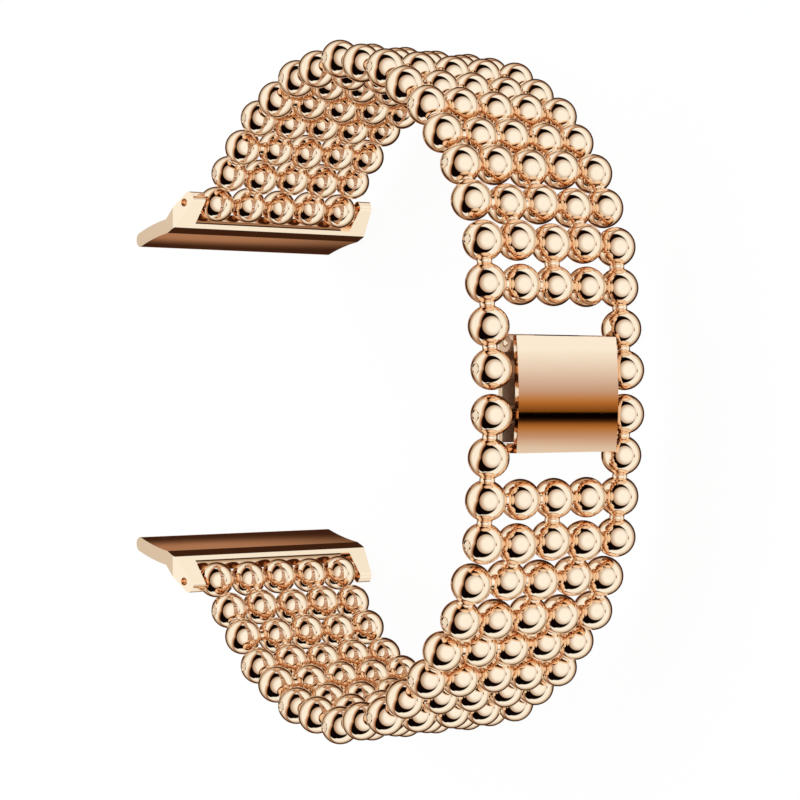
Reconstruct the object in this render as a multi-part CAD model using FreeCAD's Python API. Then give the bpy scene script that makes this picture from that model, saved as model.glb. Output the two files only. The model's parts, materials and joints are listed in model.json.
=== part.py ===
import FreeCAD, Part
import math
import os

from FreeCAD import Placement, Rotation, Vector

# Beaded metal bracelet for a square watch. It lies on its side, as it is seen when it stands
# closed on a table: X runs across the wrist, Y from the clasp to the watch, and Z, the width
# of the strap, points up. All sizes are millimetres. A half of the bracelet is a chain of
# rigid links, and every hinge line is parallel to Z.

# Beads
BEAD_D = 4.6
BEAD_MERGE = 0.05            # how far two beads of a link run into each other
END_NECK_GAP = 0.12          # free neck between the beads of an end link
NECK_D = 1.7
ROD_D = 1.6                  # cast cross rod that joins the beads of a middle row
ROW_GAP = 0.2                # mean gap between rows, so 0.4 where a hinge parts them
COLUMN_GAP = 0.2

# Pins
LINK_PIN_D = 1.2
LUG_PIN_D = 1.0
RUNNING_GAP = 0.05           # radial, between a pin and what turns on it
TIGHT_GAP = 0.01             # radial, between a pin and what holds it
PIN_SINK = 0.12              # how far a pin's end lies inside the outer bead's pole
PIN_CHAMFER = 0.15

# Route of one half: the heading of the end link, then the bend at each hinge line, in degrees
END_LINK_HEADING = 6.0
REST_BENDS = [19.0, 16.5, 16.5, 19.0, 21.0, 17.0, 17.0, 7.5]
BAR_BEAD_GAP = 0.4           # between the last beads of the two halves, in the clasp

# Clasp
CLASP_SIDE_GAP = 0.1         # between the cover and the beads of the fork
BASE_SIDE_GAP = 0.2
COVER_T = 0.6
COVER_TOP_X = 6.2            # the cover's upper end, beside the hinge
COVER_LOW_X = 6.7            # the cover's lower end, with the snap flange
COVER_RISE = 0.4             # how much higher the crown is than the ends
COVER_END_DROP = 0.22        # how far the ends reach below the top of the bars' loops
BASE_T = 0.7
BASE_DROP = 0.28             # from the bottom of the bars' loops to the base plate
BASE_LOW_X = 5.55
SADDLE_WALL = 0.32
SADDLE_LIP = 0.75            # how far the open saddle's walls stand above the bar's axis
HINGE_X = 5.4
HINGE_Y = 0.75
HINGE_PIN_D = 0.9
KNUCKLE_D = 2.0
KNUCKLE_GAP = 0.1
COVER_KNUCKLE_W = 6.6
FLANGE_REACH = 1.75          # lower end of the snap flange, towards the wrist
FLANGE_GAP = 0.12
BAR_RIB_W = 1.0
BAR_RIB_GAP = 0.1
BAR_RIB_INSET = 1.5          # how far the rib stops short of the cover's sides

# Watch adapter, in its own section plane with the lug pin at the origin
EAR_T = 2.9
EAR_SIDE_GAP = 0.2           # between an ear and the outer bead beside it
POCKET_GAP = 0.35
EAR_HEEL = (0.45, -1.7)
EAR_TOE = (1.6, -0.75)
EAR_ROUND = 0.5
EAR_TAPER = 1.1              # how much narrower each outer side is at the ear's end
EAR_TAPER_START = 1.9        # where the outer sides begin to draw in
WRIST_EDGE = (-3.1, 1.6)
TONGUE_ROOT = (-3.75, 3.3)
TONGUE_TIP = (-5.15, 10.35)
TONGUE_BOW = (-4.2, 6.4)     # a point on the middle of the tongue's wrist face
TONGUE_T = 1.85

# What follows from these
INNER_COLUMNS = [-1, 1]
OUTER_COLUMNS = [-2, 0, 2]
BEAD_R = BEAD_D / 2
BEAD_SPACING = BEAD_D - BEAD_MERGE
END_SPACING = BEAD_D + END_NECK_GAP
ROW_PITCH = BEAD_D + ROW_GAP
COLUMN_PITCH = BEAD_D + COLUMN_GAP
HINGE_OFFSET = ROW_PITCH - (ROW_PITCH + BEAD_SPACING) / 2
BAR_SPACING = BEAD_D + BAR_BEAD_GAP
PIN_END = 2 * COLUMN_PITCH + BEAD_R - PIN_SINK
FORK_HALF = 2 * COLUMN_PITCH - BEAD_R
CLASP_W = 2 * (FORK_HALF - CLASP_SIDE_GAP)
BASE_W = 2 * (FORK_HALF - BASE_SIDE_GAP)
BAR_BORE = LINK_PIN_D + 2 * RUNNING_GAP
LOOP_R = BAR_BORE / 2 + SADDLE_WALL
COVER_EDGE_Y = LOOP_R + COVER_T - COVER_END_DROP
BASE_Y = LOOP_R + BASE_DROP
MID_Z = 2 * COLUMN_PITCH + BEAD_R + EAR_SIDE_GAP + EAR_T
ADAPTER_W = 2 * MID_Z


def point(x, y, z=0.0):
    return Vector(x, y, z)


def rod(diameter, x, y, low, high):
    """A cylinder parallel to Z between two heights."""
    return Part.makeCylinder(diameter / 2, high - low, point(x, y, low), point(0, 0, 1))


def pin(diameter, x, y, half_length):
    """A pin centred on the middle plane, with chamfered ends."""
    body = rod(diameter, x, y, -half_length, half_length)
    ends = [e for e in body.Edges if e.Closed]
    return body.makeChamfer(PIN_CHAMFER, ends)


def bead_string(centres, column):
    """Beads in a row along X, turned in one piece with the necks between them."""
    neck_r = NECK_D / 2
    reach = math.sqrt(BEAD_R**2 - neck_r**2)
    edges = []
    start = point(centres[0] - BEAD_R, 0)
    for i, centre in enumerate(centres):
        last = i == len(centres) - 1
        end = point(centre + BEAD_R, 0) if last else point(centre + reach, neck_r)
        edges.append(Part.Arc(start, point(centre, BEAD_R), end).toShape())
        if not last:
            start = point(centres[i + 1] - reach, neck_r)
            edges.append(Part.LineSegment(end, start).toShape())
    edges.append(Part.LineSegment(end, point(centres[0] - BEAD_R, 0)).toShape())
    half = Part.Face(Part.Wire(edges))
    solid = half.revolve(point(0, 0), point(1, 0), 360)
    return solid.translated(point(0, 0, column * COLUMN_PITCH))


def bored(solid, diameter, x):
    """The same solid with a hole parallel to Z at x."""
    half = 3 * COLUMN_PITCH
    return solid.cut(rod(diameter, x, 0, -half, half))


def fused(solids):
    return solids[0].multiFuse(solids[1:]).removeSplitter()


def cross_rod(x):
    half = 2 * COLUMN_PITCH
    return rod(ROD_D, x, 0, -half, half)


def chain_link():
    """Two inner bead pairs and three outer ones, staggered by a row and cast as one piece."""
    near = [HINGE_OFFSET, HINGE_OFFSET + BEAD_SPACING]
    far = [2 * ROW_PITCH - near[1], 2 * ROW_PITCH - near[0]]
    turning = LINK_PIN_D + 2 * RUNNING_GAP
    held = LINK_PIN_D + 2 * TIGHT_GAP
    inner = [bored(bead_string(near, c), turning, 0) for c in INNER_COLUMNS]
    outer = [bored(bead_string(far, c), held, 2 * ROW_PITCH) for c in OUTER_COLUMNS]
    return fused(inner + outer + [cross_rod(ROW_PITCH)])


def end_link_hinge():
    """Distance from the cross bar to the end link's hinge line."""
    return 3 * END_SPACING + HINGE_OFFSET


def end_link():
    """The fork that carries a cross bar: a full row, half a row and two arms of beads."""
    held = LINK_PIN_D + 2 * TIGHT_GAP
    row = [i * END_SPACING for i in range(4)]
    hinge = end_link_hinge()
    solids = []
    for column in OUTER_COLUMNS:
        centres = row[2:] if column == 0 else row
        string = bored(bead_string(centres, column), held, hinge)
        solids.append(bored(string, held, 0))
    solids += [bead_string([row[2]], column) for column in INNER_COLUMNS]
    return fused(solids + [cross_rod(row[2])])


def lug_link():
    """The two inner bead pairs between the last hinge line and the lug pin."""
    near = HINGE_OFFSET
    solids = []
    for column in INNER_COLUMNS:
        pair = bead_string([near, near + BEAD_SPACING], column)
        pair = bored(pair, LINK_PIN_D + 2 * RUNNING_GAP, 0)
        solids.append(bored(pair, LUG_PIN_D + 2 * RUNNING_GAP, ROW_PITCH))
    return Part.makeCompound(solids)


def lug_beads():
    """Three single beads that are pressed on the lug pin."""
    held = LUG_PIN_D + 2 * TIGHT_GAP
    return Part.makeCompound([bored(bead_string([0], c), held, 0) for c in OUTER_COLUMNS])


def adapter_section():
    """Side view of the adapter: an ear round the lug pin, and the tongue for the watch's slot."""
    along = point(TONGUE_TIP[0] - TONGUE_ROOT[0], TONGUE_TIP[1] - TONGUE_ROOT[1])
    along.normalize()
    across = point(along.y, -along.x) * TONGUE_T
    root, bow, tip = (point(*p) for p in (TONGUE_ROOT, TONGUE_BOW, TONGUE_TIP))
    cap = tip + across * 0.5 + along * (TONGUE_T / 2)
    heel, toe, wrist = point(*EAR_HEEL), point(*EAR_TOE), point(*WRIST_EDGE)
    edges = [
        Part.LineSegment(heel, wrist).toShape(),
        Part.LineSegment(wrist, root).toShape(),
        Part.Arc(root, bow, tip).toShape(),
        Part.Arc(tip, cap, tip + across).toShape(),
        Part.Arc(tip + across, bow + across, root + across).toShape(),
        Part.LineSegment(root + across, toe).toShape(),
        Part.LineSegment(toe, heel).toShape(),
    ]
    return Part.Face(Part.Wire(edges))


def ear_taper(side):
    """What is cut away outside an ear, so that the adapter narrows towards its hinge."""
    end = EAR_HEEL[1]
    corners = [
        point(EAR_TOE[0], EAR_TAPER_START, side * MID_Z),
        point(EAR_TOE[0], end, side * (MID_Z - EAR_TAPER)),
        point(EAR_TOE[0], end, side * 2 * MID_Z),
        point(EAR_TOE[0], EAR_TAPER_START, side * 2 * MID_Z),
    ]
    outline = Part.makePolygon(corners + corners[:1])
    return Part.Face(outline).extrude(point(WRIST_EDGE[0] + TONGUE_ROOT[0], 0, 0))


def adapter():
    """The lug adapter, with a pocket between its ears for the first row of beads."""
    block = adapter_section().extrude(point(0, 0, ADAPTER_W)).translated(point(0, 0, -MID_Z))
    corners = [
        e for e in block.Edges
        if abs(e.BoundBox.ZLength - ADAPTER_W) < 0.01
        and min((e.CenterOfMass - point(*p)).Length for p in (EAR_HEEL, EAR_TOE)) < 0.1
    ]
    block = block.makeFillet(EAR_ROUND, corners)
    half = MID_Z - EAR_T
    pocket_r = BEAD_R + HINGE_OFFSET + POCKET_GAP
    pocket = rod(2 * pocket_r, 0, 0, -half, half)
    hole = rod(LUG_PIN_D + 2 * TIGHT_GAP, 0, 0, -MID_Z, MID_Z)
    block = block.cut(pocket).cut(hole)
    for side in (1, -1):
        block = block.cut(ear_taper(side))
    return block


def clasp_arc(radius_drop):
    """One face of the curved cover, as three points from its upper to its lower end."""
    top = COVER_EDGE_Y - radius_drop
    middle = (COVER_TOP_X - COVER_LOW_X) / 2
    crown = COVER_EDGE_Y + COVER_RISE - radius_drop
    return point(COVER_TOP_X, -top), point(middle, -crown), point(-COVER_LOW_X, -top)


def extruded(edges, low, high):
    face = Part.Face(Part.Wire(edges))
    return face.extrude(point(0, 0, high - low)).translated(point(0, 0, low))


def box(x0, x1, y0, y1, z0, z1):
    return Part.makeBox(x1 - x0, y1 - y0, z1 - z0, point(x0, y0, z0))


def clasp_cover():
    """The curved cover: a hinge knuckle, a rib over the free bar and a snap flange."""
    half = CLASP_W / 2
    outer, inner = clasp_arc(0), clasp_arc(COVER_T)
    plate = extruded([
        Part.Arc(*outer).toShape(),
        Part.LineSegment(outer[2], inner[2]).toShape(),
        Part.Arc(inner[2], inner[1], inner[0]).toShape(),
        Part.LineSegment(inner[0], outer[0]).toShape(),
    ], -half, half)
    inside = -COVER_EDGE_Y + COVER_T / 2
    flange = box(-COVER_LOW_X, -BASE_LOW_X - FLANGE_GAP, inside, FLANGE_REACH, -half, half)
    bar_x = -BAR_SPACING / 2
    rib_end = -(LINK_PIN_D / 2 + BAR_RIB_GAP)
    rib_half = half - BAR_RIB_INSET
    rib = box(bar_x - BAR_RIB_W / 2, bar_x + BAR_RIB_W / 2, -COVER_EDGE_Y, rib_end,
              -rib_half, rib_half)
    knuckle_half = COVER_KNUCKLE_W / 2
    knuckle = rod(KNUCKLE_D, HINGE_X, HINGE_Y, -knuckle_half, knuckle_half)
    web = box(HINGE_X, COVER_TOP_X, inside, HINGE_Y, -knuckle_half, knuckle_half)
    hole = rod(HINGE_PIN_D + 2 * RUNNING_GAP, HINGE_X, HINGE_Y, -half, half)
    return fused([plate, flange, rib, knuckle, web]).cut(hole)


def clasp_base():
    """The wrist plate with a closed loop, an open saddle and two hinge knuckles."""
    half = BASE_W / 2
    plate = box(-BASE_LOW_X, HINGE_X, BASE_Y, BASE_Y + BASE_T, -half, half)
    bore, outer = BAR_BORE, 2 * LOOP_R
    bars = [BAR_SPACING / 2, -BAR_SPACING / 2]
    loops = [rod(outer, x, 0, -half, half) for x in bars]
    feet = [box(x - outer / 2, x + outer / 2, 0, BASE_Y + BASE_T / 2, -half, half) for x in bars]
    knuckle_low = COVER_KNUCKLE_W / 2 + KNUCKLE_GAP
    knuckles = [
        rod(KNUCKLE_D, HINGE_X, HINGE_Y, low, high)
        for low, high in ((-half, -knuckle_low), (knuckle_low, half))
    ]
    body = fused([plate] + loops + feet + knuckles)
    for x in bars:
        body = body.cut(rod(bore, x, 0, -half, half))
    body = body.cut(box(bars[1] - bore / 2, bars[1] + bore / 2, -outer, 0, -half, half))
    body = body.cut(box(bars[1] - outer, bars[1] + outer, -outer, -SADDLE_LIP, -half, half))
    relief = rod(KNUCKLE_D + 2 * KNUCKLE_GAP, HINGE_X, HINGE_Y, -knuckle_low, knuckle_low)
    hole = rod(HINGE_PIN_D + 2 * TIGHT_GAP, HINGE_X, HINGE_Y, -half, half)
    return body.cut(relief).cut(hole)


def route():
    """Hinge points of the upper half and the heading of the link that leaves each."""
    x, y, heading = BAR_SPACING / 2, 0.0, END_LINK_HEADING
    lengths = [end_link_hinge()] + [2 * ROW_PITCH] * (len(REST_BENDS) - 1) + [ROW_PITCH]
    stops = []
    for length, bend in zip(lengths, REST_BENDS + [0.0]):
        stops.append((x, y, heading))
        x += length * math.cos(math.radians(heading))
        y += length * math.sin(math.radians(heading))
        heading += bend
    stops.append((x, y, 0.0))
    return stops


def placed(shape, stop, side):
    """A link shape put at a stop of the route, on the upper (1) or lower (-1) half."""
    x, y, heading = stop
    if side < 0:
        heading = 180 - heading
    copy = shape.copy()
    copy.Placement = Placement(point(side * x, y, MID_Z), Rotation(point(0, 0, 1), heading))
    return copy


def half_nodes(name, side):
    """Every node of one half of the bracelet."""
    stops = route()
    link, hinge_pin = chain_link(), pin(LINK_PIN_D, 2 * ROW_PITCH, 0, PIN_END)
    fork_pin = pin(LINK_PIN_D, end_link_hinge(), 0, PIN_END)
    nodes = {
        f"{name}_end_link": placed(end_link(), stops[0], side),
        f"{name}_clasp_bar": placed(pin(LINK_PIN_D, 0, 0, PIN_END), stops[0], side),
        f"{name}_end_pin": placed(fork_pin, stops[0], side),
    }
    for number, stop in enumerate(stops[1:-2], 1):
        nodes[f"{name}_link_{number}"] = placed(link, stop, side)
        nodes[f"{name}_link_pin_{number}"] = placed(hinge_pin, stop, side)
    nodes[f"{name}_lug_link"] = placed(lug_link(), stops[-2], side)
    lug = stops[-1]
    flip = Rotation(point(0, 1, 0), 0 if side > 0 else 180)
    lug_place = Placement(point(side * lug[0], lug[1], MID_Z), flip)
    for part, shape in (
        ("adapter", adapter()),
        ("lug_pin", pin(LUG_PIN_D, 0, 0, MID_Z - EAR_TAPER)),
        ("lug_beads", lug_beads()),
    ):
        shape.Placement = lug_place
        nodes[f"{name}_{part}"] = shape
    return nodes


def clasp_nodes():
    hinge_pin = pin(HINGE_PIN_D, HINGE_X, HINGE_Y, BASE_W / 2)
    shapes = {"clasp_base": clasp_base(), "clasp_cover": clasp_cover(), "clasp_hinge_pin": hinge_pin}
    return {name: shape.translated(point(0, 0, MID_Z)) for name, shape in shapes.items()}


def depth_middle(nodes):
    """Middle of the whole bracelet along Y, which becomes the origin."""
    boxes = [shape.optimalBoundingBox(False, False) for shape in nodes.values()]
    return (min(b.YMin for b in boxes) + max(b.YMax for b in boxes)) / 2


def main():
    os.makedirs("parts", exist_ok=True)
    nodes = {**clasp_nodes(), **half_nodes("upper", 1), **half_nodes("lower", -1)}
    shift = point(0, -depth_middle(nodes), 0)
    for name, shape in nodes.items():
        shape.translated(shift).exportStep(f"parts/{name}.step")
    print("shift along Y", round(shift.y, 4))
    print("cover hinge", HINGE_X, round(HINGE_Y + shift.y, 4))
    for x, y, heading in route():
        print("hinge line", round(x, 4), round(y + shift.y, 4), heading)


main()
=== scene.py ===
import json
import math

import bpy
from mathutils import Matrix, Vector


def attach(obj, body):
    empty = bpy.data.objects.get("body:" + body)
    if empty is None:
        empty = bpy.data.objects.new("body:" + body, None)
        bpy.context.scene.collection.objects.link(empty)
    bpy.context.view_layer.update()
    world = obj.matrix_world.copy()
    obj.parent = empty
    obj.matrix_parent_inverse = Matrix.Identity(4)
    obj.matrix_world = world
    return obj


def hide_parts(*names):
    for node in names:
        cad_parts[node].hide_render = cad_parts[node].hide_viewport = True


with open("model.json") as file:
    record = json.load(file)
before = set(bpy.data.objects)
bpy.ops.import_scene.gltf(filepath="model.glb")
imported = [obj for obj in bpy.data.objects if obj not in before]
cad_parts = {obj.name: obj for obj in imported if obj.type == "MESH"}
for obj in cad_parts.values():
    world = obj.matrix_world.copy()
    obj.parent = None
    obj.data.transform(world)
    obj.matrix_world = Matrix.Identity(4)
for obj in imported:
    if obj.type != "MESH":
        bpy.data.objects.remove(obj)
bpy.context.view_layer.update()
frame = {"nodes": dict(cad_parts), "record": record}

# A beaded rose gold bracelet that lies on its side on a pale floor. The links and their beads
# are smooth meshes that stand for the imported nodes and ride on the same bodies. The clasp, the
# pins and the adapters show as packed, with the same plating.
# Sizes are millimetres and are turned into metres when a mesh is placed.
MM = 0.001

# Beads
BEAD_D = 4.6
BEAD_MERGE = 0.05            # how far two beads of a link run into each other
END_NECK_GAP = 0.12          # free neck between the beads of an end link
NECK_D = 1.7
ROD_D = 1.6                  # cast cross rod that joins the beads of a middle row
ROW_GAP = 0.2                # mean gap between rows, so 0.4 where a hinge parts them
COLUMN_GAP = 0.2

# Pins
LINK_PIN_D = 1.2
LUG_PIN_D = 1.0
RUNNING_GAP = 0.05           # radial, between a pin and what turns on it
TIGHT_GAP = 0.01             # radial, between a pin and what holds it

# Worked out from these
BEAD_SPACING = BEAD_D - BEAD_MERGE
END_SPACING = BEAD_D + END_NECK_GAP
ROW_PITCH = BEAD_D + ROW_GAP
COLUMN_PITCH = BEAD_D + COLUMN_GAP
HINGE_OFFSET = ROW_PITCH - (ROW_PITCH + BEAD_SPACING) / 2
INNER_COLUMNS = (-1, 1)
OUTER_COLUMNS = (-2, 0, 2)
ROD_END = 2 * COLUMN_PITCH
DRILL_END = 3 * COLUMN_PITCH

LINKS_PER_HALF = 7
END_LINK_ROWS = 4

# Smoothness of the meshes
ARC_STEPS = 32               # along a bead's half circle
TURN_STEPS = 64              # round a bead
ROD_STEPS = 48               # round a rod or a bore

# Plating
ROSE_GOLD = (0.95, 0.68, 0.48)
ROSE_GOLD_DEEP = (0.9405, 0.6596, 0.456)
GRAIN_SCALE = 900.0
GRAIN_DETAIL = 3.0
POLISH = (0.015, 0.045)      # least and greatest roughness
SATIN = (0.55, 0.65)


# Mesh helpers
def new_object(name, vertices, faces, smooth=True):
    mesh = bpy.data.meshes.new(name)
    mesh.from_pydata([tuple(v) for v in vertices], [], faces)
    mesh.update()
    for polygon in mesh.polygons:
        polygon.use_smooth = smooth
    obj = bpy.data.objects.new(name, mesh)
    bpy.context.scene.collection.objects.link(obj)
    return obj


def lathe(name, profile, steps):
    """A closed surface of revolution about X. The profile runs from pole to pole."""
    start, *inner, end = profile
    poles = [(start[0], 0, 0), (end[0], 0, 0)]
    rings = []
    for x, r in inner:
        for i in range(steps):
            a = 2 * math.pi * i / steps
            rings.append((x, r * math.cos(a), r * math.sin(a)))
    first = len(poles)
    last = first + (len(inner) - 1) * steps
    faces = []
    for i in range(steps):
        k = (i + 1) % steps
        faces.append((0, first + k, first + i))
        faces.append((1, last + i, last + k))
        for low in range(first, last, steps):
            high = low + steps
            faces.append((low + i, low + k, high + k, high + i))
    return new_object(name, poles + rings, faces)


def string_profile(centres):
    """Half outline of beads in a row along X with the necks between them."""
    radius, neck = BEAD_D / 2, NECK_D / 2
    reach = math.asin(neck / radius)
    points = []
    for i, centre in enumerate(centres):
        start = 0 if i == 0 else reach
        end = math.pi if i == len(centres) - 1 else math.pi - reach
        for step in range(ARC_STEPS + 1):
            a = start + (end - start) * step / ARC_STEPS
            points.append((centre - radius * math.cos(a), radius * math.sin(a)))
    return points


def bead_string(centres, column):
    obj = lathe("string", string_profile(centres), TURN_STEPS)
    obj.data.transform(Matrix.Translation((0, 0, column * COLUMN_PITCH)))
    return obj


def cylinder(diameter, x, half_length):
    """A closed cylinder parallel to Z, as long to both sides."""
    vertices = []
    for z in (-half_length, half_length):
        for i in range(ROD_STEPS):
            a = 2 * math.pi * i / ROD_STEPS
            vertices.append((x + diameter / 2 * math.cos(a), diameter / 2 * math.sin(a), z))
    faces = [tuple(reversed(range(ROD_STEPS))), tuple(range(ROD_STEPS, 2 * ROD_STEPS))]
    ends = len(faces)
    for i in range(ROD_STEPS):
        k = (i + 1) % ROD_STEPS
        faces.append((i, k, ROD_STEPS + k, ROD_STEPS + i))
    obj = new_object("cylinder", vertices, faces)
    for polygon in obj.data.polygons[:ends]:
        polygon.use_smooth = False
    return obj


def drilled(obj, diameter, x):
    """Cuts a bore parallel to Z right through the object."""
    drill = cylinder(diameter, x, DRILL_END)
    modifier = obj.modifiers.new("bore", "BOOLEAN")
    modifier.operation = "DIFFERENCE"
    modifier.object = drill
    modifier.solver = "EXACT"
    graph = bpy.context.evaluated_depsgraph_get()
    mesh = bpy.data.meshes.new_from_object(obj.evaluated_get(graph))
    obj.modifiers.clear()
    obj.data = mesh
    bpy.data.objects.remove(drill)
    return obj


def joined(objects, name):
    """One mesh object out of several, which keep their own closed surfaces."""
    first = objects[0]
    with bpy.context.temp_override(
        active_object=first, object=first, selected_objects=objects,
        selected_editable_objects=objects,
    ):
        bpy.ops.object.join()
    first.name = name
    return first


# Links, each built once about its first hinge line and then placed for every copy
def chain_link():
    """Two inner pairs that turn on the first pin, three outer pairs that hold the second."""
    near = (HINGE_OFFSET, HINGE_OFFSET + BEAD_SPACING)
    far = (2 * ROW_PITCH - near[1], 2 * ROW_PITCH - near[0])
    turning, held = LINK_PIN_D + 2 * RUNNING_GAP, LINK_PIN_D + 2 * TIGHT_GAP
    strings = [drilled(bead_string(near, c), turning, 0) for c in INNER_COLUMNS]
    strings += [drilled(bead_string(far, c), held, 2 * ROW_PITCH) for c in OUTER_COLUMNS]
    return joined(strings + [cylinder(ROD_D, ROW_PITCH, ROD_END)], "chain_link")


def end_link():
    """A fork of two outer strings about the clasp, joined by two full rows at its far end."""
    row = [i * END_SPACING for i in range(END_LINK_ROWS)]
    bridge = row[-2]
    held = LINK_PIN_D + 2 * TIGHT_GAP
    strings = []
    for column in OUTER_COLUMNS:
        string = bead_string(row[-2:] if column == 0 else row, column)
        string = drilled(string, held, row[-1] + HINGE_OFFSET)
        strings.append(string if column == 0 else drilled(string, held, 0))
    strings += [bead_string([bridge], column) for column in INNER_COLUMNS]
    return joined(strings + [cylinder(ROD_D, bridge, ROD_END)], "end_link")


def lug_link():
    """Two inner pairs that turn on the last link pin and on the lug pin."""
    pairs = []
    for column in INNER_COLUMNS:
        pair = bead_string((HINGE_OFFSET, HINGE_OFFSET + BEAD_SPACING), column)
        pair = drilled(pair, LINK_PIN_D + 2 * RUNNING_GAP, 0)
        pairs.append(drilled(pair, LUG_PIN_D + 2 * RUNNING_GAP, ROW_PITCH))
    return joined(pairs, "lug_link")


def lug_beads():
    """Three single beads that the lug pin carries."""
    held = LUG_PIN_D + 2 * TIGHT_GAP
    return joined([drilled(bead_string([0], c), held, 0) for c in OUTER_COLUMNS], "lug_beads")


# Plating, with a faint unevenness in its tone and gloss
def rose_gold(name, roughness):
    material = bpy.data.materials.new(name)
    material.use_nodes = True
    nodes, links = material.node_tree.nodes, material.node_tree.links
    shader = nodes["Principled BSDF"]
    shader.inputs["Metallic"].default_value = 1.0
    coordinates = nodes.new("ShaderNodeTexCoord")
    grain = nodes.new("ShaderNodeTexNoise")
    grain.inputs["Scale"].default_value = GRAIN_SCALE
    grain.inputs["Detail"].default_value = GRAIN_DETAIL
    gloss = nodes.new("ShaderNodeMapRange")
    gloss.inputs["To Min"].default_value = roughness[0]
    gloss.inputs["To Max"].default_value = roughness[1]
    tone = nodes.new("ShaderNodeMix")
    tone.data_type = "RGBA"
    tone.inputs["A"].default_value = (*ROSE_GOLD, 1)
    tone.inputs["B"].default_value = (*ROSE_GOLD_DEEP, 1)
    links.new(coordinates.outputs["Object"], grain.inputs["Vector"])
    links.new(grain.outputs["Fac"], gloss.inputs["Value"])
    links.new(grain.outputs["Fac"], tone.inputs["Factor"])
    links.new(gloss.outputs["Result"], shader.inputs["Roughness"])
    links.new(tone.outputs["Result"], shader.inputs["Base Color"])
    return material


# Placing the links
def joint_places():
    """Where each joint stands at rest, in millimetres, by the name of the joint."""
    joints = frame["record"]["behaviour"]["joints"]
    return {j["name"]: Vector(j["pos_m"]) / MM for j in joints}


def between(start, end):
    """Matrix that lays local X along the line from one hinge to the next."""
    along = end - start
    turn = Matrix.Rotation(math.atan2(along.y, along.x), 4, "Z")
    return Matrix.Scale(MM, 4) @ Matrix.Translation(start) @ turn


def place(template, name, matrix, node, body, material):
    mesh = template.data.copy()
    mesh.transform(matrix)
    mesh.materials.clear()
    mesh.materials.append(material)
    obj = bpy.data.objects.new(name, mesh)
    bpy.context.scene.collection.objects.link(obj)
    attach(obj, body)
    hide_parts(node)


def place_half(side, templates, places, material):
    """Lays the links of one half from hinge to hinge, from the clasp to the adapter."""
    hinges = ["clasp_bar_hinge"]
    hinges += [f"hinge_{n}" for n in range(1, LINKS_PER_HALF + 2)]
    hinges += ["lug_hinge"]
    stops = [places[f"{side}_{hinge}"] for hinge in hinges]
    links = [("end_link", "end_link")]
    links += [("chain_link", f"link_{n}") for n in range(1, LINKS_PER_HALF + 1)]
    links += [("lug_link", "lug_link")]
    for (kind, link), start, end in zip(links, stops, stops[1:]):
        node = f"{side}_{link}"
        place(templates[kind], f"{node}_beads", between(start, end), node, node, material)
    level = between(stops[-1], stops[-1] + Vector((1, 0, 0)))
    place(templates["lug_beads"], f"{side}_lug_row_beads", level,
          f"{side}_lug_beads", f"{side}_adapter", material)


def add_bracelet():
    polish, satin = rose_gold("rose_gold_polish", POLISH), rose_gold("rose_gold_satin", SATIN)
    templates = {
        "end_link": end_link(),
        "chain_link": chain_link(),
        "lug_link": lug_link(),
        "lug_beads": lug_beads(),
    }
    places = joint_places()
    for side in ("upper", "lower"):
        place_half(side, templates, places, polish)
    for template in templates.values():
        bpy.data.objects.remove(template)
    for name, node in frame["nodes"].items():
        for slot in node.material_slots:
            slot.material = satin if name == "clasp_base" else polish


# Photograph's camera, found from the beads' places in it
CAMERA_TILT = math.radians(35.776)      # how far it looks down on the bracelet
CAMERA_AT = Vector((0, -225.47, 175.2)) * MM
LENS = 100.68
SENSOR_WIDTH = 36
SHIFT_Y = -0.01
CLIP_NEAR, CLIP_FAR = 0.01, 20          # metres


def camera_axes():
    """Right, up and backward directions of the camera, which is rolled by a quarter turn."""
    s, c = math.sin(CAMERA_TILT), math.cos(CAMERA_TILT)
    return Vector((0, -s, -c)), Vector((1, 0, 0)), Vector((0, -c, s))


def add_camera():
    data = bpy.data.cameras.new("camera")
    data.lens = LENS
    data.sensor_width = SENSOR_WIDTH
    data.shift_y = SHIFT_Y
    data.clip_start, data.clip_end = CLIP_NEAR, CLIP_FAR
    camera = bpy.data.objects.new("camera", data)
    turn = Matrix(camera_axes()).transposed().to_4x4()
    camera.matrix_world = Matrix.Translation(CAMERA_AT) @ turn
    bpy.context.scene.collection.objects.link(camera)
    bpy.context.scene.camera = camera


# Studio: soft panels that only the metal sees, and a pale floor. Directions are given from
# the object, in the camera's axes. An edge is two limits: outside the first a thing is gone,
# inside the second it is full.
BOARD = (0.004, 0.002, 0.002)           # black board all round the camera
WALL = (1.04, 1.25, 1.36)               # pale wall beyond the board
WALL_EDGE, WALL_OFFSET = (-0.20, 0.0, 1.0), 0.186
WALL_FADE = (0.04, -0.04)
FLAG_WAY, FLAG_OUT = 238.0, 78.0        # black flag, low on the left
FLAG_EDGE = (18.0, 14.0)

# Large panel on the left, between two planes (right, up, back), paler from rim to middle
PANEL_SIDE = (-0.731, 0.0, -0.682)
PANEL_FOOT = (-0.623, 0.526, -0.580)
PANEL_BANDS = [
    ((-0.02, 0.06), (0.32, 0.15, 0.06)),
    ((0.04, 0.20), (0.72, 0.58, 0.46)),
    ((0.16, 0.38), WALL),
]

# Dark end of the room, past the object, in degrees from the way the camera looks
SIDE_SHADE = (0.50, 0.34, 0.22)
SIDE_EDGE = (84.0, 50.0)
BEHIND = (0.05, 0.02, 0.01)
BEHIND_EDGE = (54.0, 46.0)
DOOR = (0.42, 0.22, 0.12)               # paler opening in its middle, left half only
DOOR_EDGE = (30.0, 20.0)
DOOR_SIDE = (0.05, -0.05)

# Round lamp a little right of the camera, brightest off its middle
LAMP = (1.06, 1.29, 1.44)
LAMP_RIM = (0.50, 0.38, 0.28)
LAMP_OUT, GLOW_OUT = 17.0, 26.0
LAMP_EDGE = (56.0, 51.0)
GLOW_EDGE = (64.0, 26.0)

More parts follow.
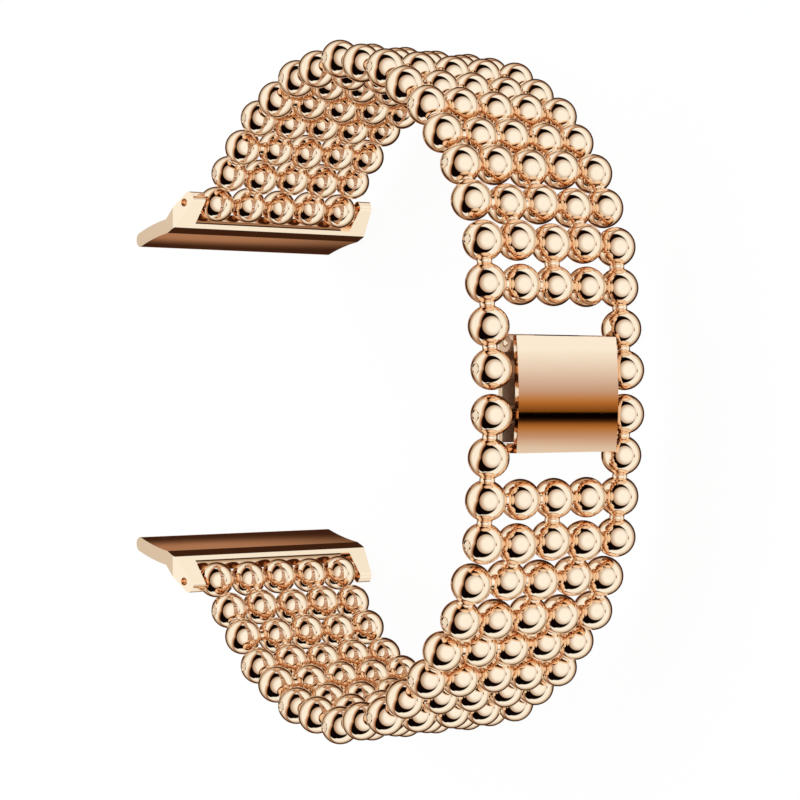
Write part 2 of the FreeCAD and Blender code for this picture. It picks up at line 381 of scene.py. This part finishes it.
# Narrow graded card on the right, which the clasp cover mirrors: degrees of rise and colour
CARD_TURN, CARD_EDGE = 75.8, (3.8, 2.8)
CARD_END_FADE = 1.0
CARD_GRADE = [
    (-13.5, (0.95, 1.08, 1.15)),
    (-10.7, (0.78, 0.80, 0.78)),
    (-9.4, (0.61, 0.46, 0.37)),
    (-7.3, (0.49, 0.24, 0.07)),
    (-6.4, (0.32, 0.13, 0.03)),
    (-5.7, (0.05, 0.02, 0.005)),
    (-5.1, (0.002, 0.001, 0.001)),
    (-3.95, (0.0, 0.0, 0.0)),
    (-3.75, (0.18, 0.07, 0.01)),
    (-1.9, (0.46, 0.20, 0.05)),
    (-1.0, (0.54, 0.29, 0.12)),
    (0.8, (0.61, 0.49, 0.42)),
    (5.0, (0.83, 0.86, 0.89)),
    (9.5, (1.02, 1.22, 1.35)),
    (13.5, (1.04, 1.25, 1.36)),
]

# Floor, half its width in metres
FLOOR_HALF = 3.0
FLOOR_COLOUR = (0.9, 0.9, 0.9)
FLOOR_GLOW = 1.06
FLOOR_GLOW_SHARE = 0.88                 # the rest is lit, and takes the bracelet's shadow


class Nodes:
    """Short calls for building a chain of shader nodes."""

    def __init__(self, tree):
        self.tree = tree
        self.tree.nodes.clear()

    def node(self, kind, **settings):
        node = self.tree.nodes.new(kind)
        for key, value in settings.items():
            setattr(node, key, value)
        return node

    def feed(self, socket, value):
        if isinstance(value, bpy.types.NodeSocket):
            self.tree.links.new(value, socket)
        else:
            socket.default_value = value

    def math(self, operation, *values):
        node = self.node("ShaderNodeMath", operation=operation)
        for socket, value in zip(node.inputs, values):
            self.feed(socket, value)
        return node.outputs[0]

    def dot(self, vector, axis):
        node = self.node("ShaderNodeVectorMath", operation="DOT_PRODUCT")
        self.feed(node.inputs[0], vector)
        node.inputs[1].default_value = tuple(axis)
        return node.outputs["Value"]

    def step(self, value, low, high):
        """0 at low, 1 at high, smooth between; the limits may run either way."""
        node = self.node("ShaderNodeMapRange", interpolation_type="SMOOTHSTEP")
        self.feed(node.inputs["Value"], value)
        node.inputs["From Min"].default_value = min(low, high)
        node.inputs["From Max"].default_value = max(low, high)
        node.inputs["To Min"].default_value = 0 if low < high else 1
        node.inputs["To Max"].default_value = 1 if low < high else 0
        return node.outputs["Result"]

    def mix(self, factor, a, b, blend="MIX"):
        """Colour a where the factor is 0, and b where it is 1."""
        node = self.node("ShaderNodeMix", data_type="RGBA", blend_type=blend)
        self.feed(node.inputs["Factor"], factor)
        for name, value in (("A", a), ("B", b)):
            socket = [s for s in node.inputs if s.name == name and s.type == "RGBA"][0]
            self.feed(socket, value if isinstance(value, bpy.types.NodeSocket) else (*value, 1))
        return [s for s in node.outputs if s.type == "RGBA"][0]

    def mix_shaders(self, factor, a, b):
        node = self.node("ShaderNodeMixShader")
        for socket, value in zip(node.inputs, (factor, a, b)):
            self.feed(socket, value)
        return node.outputs[0]


class Sky(Nodes):
    """Nodes that say where a direction of the world lies, in the camera's axes."""

    def __init__(self, tree):
        super().__init__(tree)
        self.direction = self.node("ShaderNodeTexCoord").outputs["Generated"]
        self.axes = camera_axes()
        self.right, self.up, self.back = (self.dot(self.direction, axis) for axis in self.axes)

    def within(self, axis, edge):
        """1 round an axis, with the edge in degrees from it."""
        angle = self.math("DEGREES", self.math("ARCCOSINE", self.dot(self.direction, axis)))
        return self.step(angle, *edge)

    def beyond(self, normal, offset=0.0):
        """Signed distance of the direction from a plane given as right, up and back."""
        axis = sum((a * k for a, k in zip(self.axes, normal)), Vector())
        return self.math("SUBTRACT", self.dot(self.direction, axis), offset)


def towards(way, out):
    """Direction at an angle from the backward direction, the way counted from right to up."""
    right, up, back = camera_axes()
    w, t = math.radians(way), math.radians(out)
    return (right * math.cos(w) + up * math.sin(w)) * math.sin(t) + back * math.cos(t)


def board_and_wall(sky):
    wall = sky.step(sky.beyond(WALL_EDGE, WALL_OFFSET), *WALL_FADE)
    flag = sky.within(towards(FLAG_WAY, FLAG_OUT), FLAG_EDGE)
    return sky.mix(flag, sky.mix(wall, BOARD, WALL), BOARD)


def with_panel(sky, colour):
    depth = sky.math("MINIMUM", sky.beyond(PANEL_SIDE), sky.beyond(PANEL_FOOT))
    for limits, tone in PANEL_BANDS:
        colour = sky.mix(sky.step(depth, *limits), colour, tone)
    return colour


def with_dark_end(sky, colour):
    ahead = -sky.axes[2]
    shade = sky.mix(1.0, colour, SIDE_SHADE, "MULTIPLY")
    colour = sky.mix(sky.within(ahead, SIDE_EDGE), colour, shade)
    door = sky.mix(sky.step(sky.right, *DOOR_SIDE), BEHIND, DOOR)
    behind = sky.mix(sky.within(ahead, DOOR_EDGE), BEHIND, door)
    return sky.mix(sky.within(ahead, BEHIND_EDGE), colour, behind)


def with_lamp(sky, colour):
    lamp = sky.mix(sky.within(towards(0, GLOW_OUT), GLOW_EDGE), LAMP_RIM, LAMP)
    return sky.mix(sky.within(towards(0, LAMP_OUT), LAMP_EDGE), colour, lamp)


def with_card(sky, colour):
    turn = sky.math("DEGREES", sky.math("ARCTAN2", sky.right, sky.back))
    rise = sky.math("DEGREES", sky.math("ARCSINE", sky.up))
    low, high = CARD_GRADE[0][0], CARD_GRADE[-1][0]
    height = sky.node("ShaderNodeMapRange")
    sky.feed(height.inputs["Value"], rise)
    height.inputs["From Min"].default_value = low
    height.inputs["From Max"].default_value = high
    ramp = sky.node("ShaderNodeValToRGB")
    sky.feed(ramp.inputs[0], height.outputs["Result"])
    elements = ramp.color_ramp.elements
    while len(elements) < len(CARD_GRADE):
        elements.new(0.5)
    for element, (degrees, tone) in zip(elements, CARD_GRADE):
        element.position = (degrees - low) / (high - low)
        element.color = (*tone, 1)
    sideways = sky.math("ABSOLUTE", sky.math("SUBTRACT", turn, CARD_TURN))
    upright = sky.math("ABSOLUTE", rise)
    inside = sky.math("MULTIPLY", sky.step(sideways, *CARD_EDGE),
                      sky.step(upright, high, high - CARD_END_FADE))
    return sky.mix(inside, colour, ramp.outputs[0])


def add_world():
    world = bpy.data.worlds.new("studio")
    world.use_nodes = True
    bpy.context.scene.world = world
    sky = Sky(world.node_tree)
    colour = board_and_wall(sky)
    for add in (with_panel, with_dark_end, with_lamp, with_card):
        colour = add(sky, colour)
    seen = sky.node("ShaderNodeLightPath").outputs["Is Camera Ray"]
    background = sky.node("ShaderNodeBackground")
    sky.feed(background.inputs["Color"], sky.mix(seen, colour, (1, 1, 1)))
    output = sky.node("ShaderNodeOutputWorld")
    sky.feed(output.inputs["Surface"], background.outputs[0])


def floor_material():
    """Shines white towards the camera, takes shadow, and is left out of the metal's mirror."""
    material = bpy.data.materials.new("pale_floor")
    material.use_nodes = True
    n = Nodes(material.node_tree)
    diffuse = n.node("ShaderNodeBsdfDiffuse")
    diffuse.inputs["Color"].default_value = (*FLOOR_COLOUR, 1)
    glow = n.node("ShaderNodeEmission")
    glow.inputs["Strength"].default_value = FLOOR_GLOW
    clear = n.node("ShaderNodeBsdfTransparent")
    path = n.node("ShaderNodeLightPath")
    share = n.math("MULTIPLY", path.outputs["Is Camera Ray"], FLOOR_GLOW_SHARE)
    seen = n.mix_shaders(share, diffuse.outputs[0], glow.outputs[0])
    mirrored = n.mix_shaders(path.outputs["Is Glossy Ray"], seen, clear.outputs[0])
    output = n.node("ShaderNodeOutputMaterial")
    n.feed(output.inputs["Surface"], mirrored)
    return material


def add_floor():
    corners = [(-1, -1), (1, -1), (1, 1), (-1, 1)]
    vertices = [(x * FLOOR_HALF, y * FLOOR_HALF, 0) for x, y in corners]
    floor = new_object("floor", vertices, [(0, 1, 2, 3)], smooth=False)
    floor.data.materials.append(floor_material())


add_bracelet()
add_camera()
add_world()
add_floor()
bpy.context.scene.view_settings.view_transform = "Standard"
